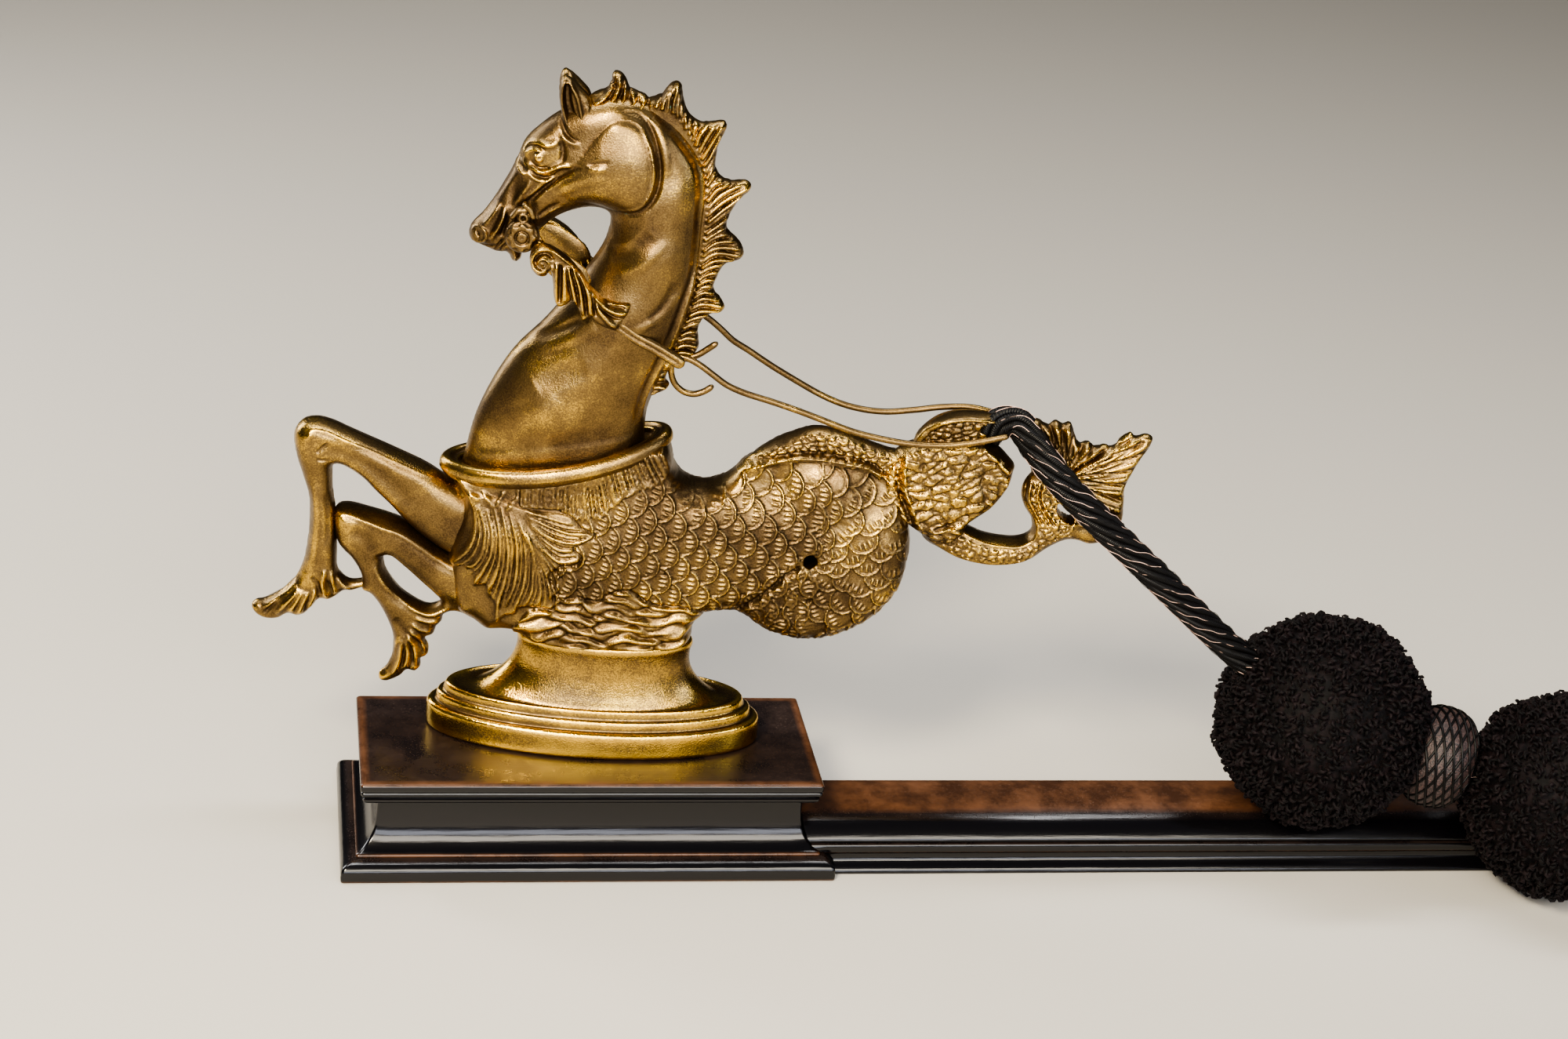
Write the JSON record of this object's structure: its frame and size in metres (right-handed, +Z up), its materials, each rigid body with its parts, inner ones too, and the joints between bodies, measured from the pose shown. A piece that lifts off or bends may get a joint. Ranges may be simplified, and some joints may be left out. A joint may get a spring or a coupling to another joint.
{
  "type": "gondola sea-horse ornament on plinth with tasselled cord",
  "caption": "Cast brass sea-horse on an oval foot, bolted to a moulded lacquered plinth and rail, with a twisted cord and wool pompoms tied to its reins.",
  "frame": {"origin": "on the floor plane under the middle of the box round the plinth, rail and horse, without the cord and its pompoms", "axes": "+X along the boat's side from the horse's nose to its tail, +Y across to the far side, +Z up"},
  "size_m": [0.5701, 0.1388, 0.313],
  "materials": {
    "brass": "cast and hand polished, browned in the hollows",
    "lacquered_wood": "glossy black lacquer, dusty and worn on the edges",
    "silk_cord": "twisted black silk cord and knotted netting",
    "wool": "black cut wool pile"
  },
  "bodies": {
    "root": {"neck_and_head": "brass", "ear_near": "brass", "ear_far": "brass", "forelock": "brass", "mane": "brass", "bit_boss_near": "brass", "rein_leaf_near": "brass", "rein_strap_near": "brass", "bit_boss_far": "brass", "rein_leaf_far": "brass", "rein_strap_far": "brass", "collar_rim": "brass", "foot_base": "brass", "wave_bed": "brass", "chest_leaf": "brass", "scaled_flank": "brass", "back_ridge": "brass", "tail_lobe": "brass", "tail_curl": "brass", "tail_band": "brass", "tail_fluke": "brass", "raised_foreleg": "brass", "lowered_foreleg": "brass", "rein_wire_near": "brass", "rein_wire_far": "brass", "hook_wire": "brass", "plinth_top_board": "lacquered_wood", "plinth_hollow": "lacquered_wood", "plinth_base_board": "lacquered_wood", "rail_base": "lacquered_wood", "rail_cap": "lacquered_wood", "cord": "silk_cord", "netted_collar": "silk_cord", "pompom_1": "wool", "pompom_2": "wool"}
  },
  "joints": []
}
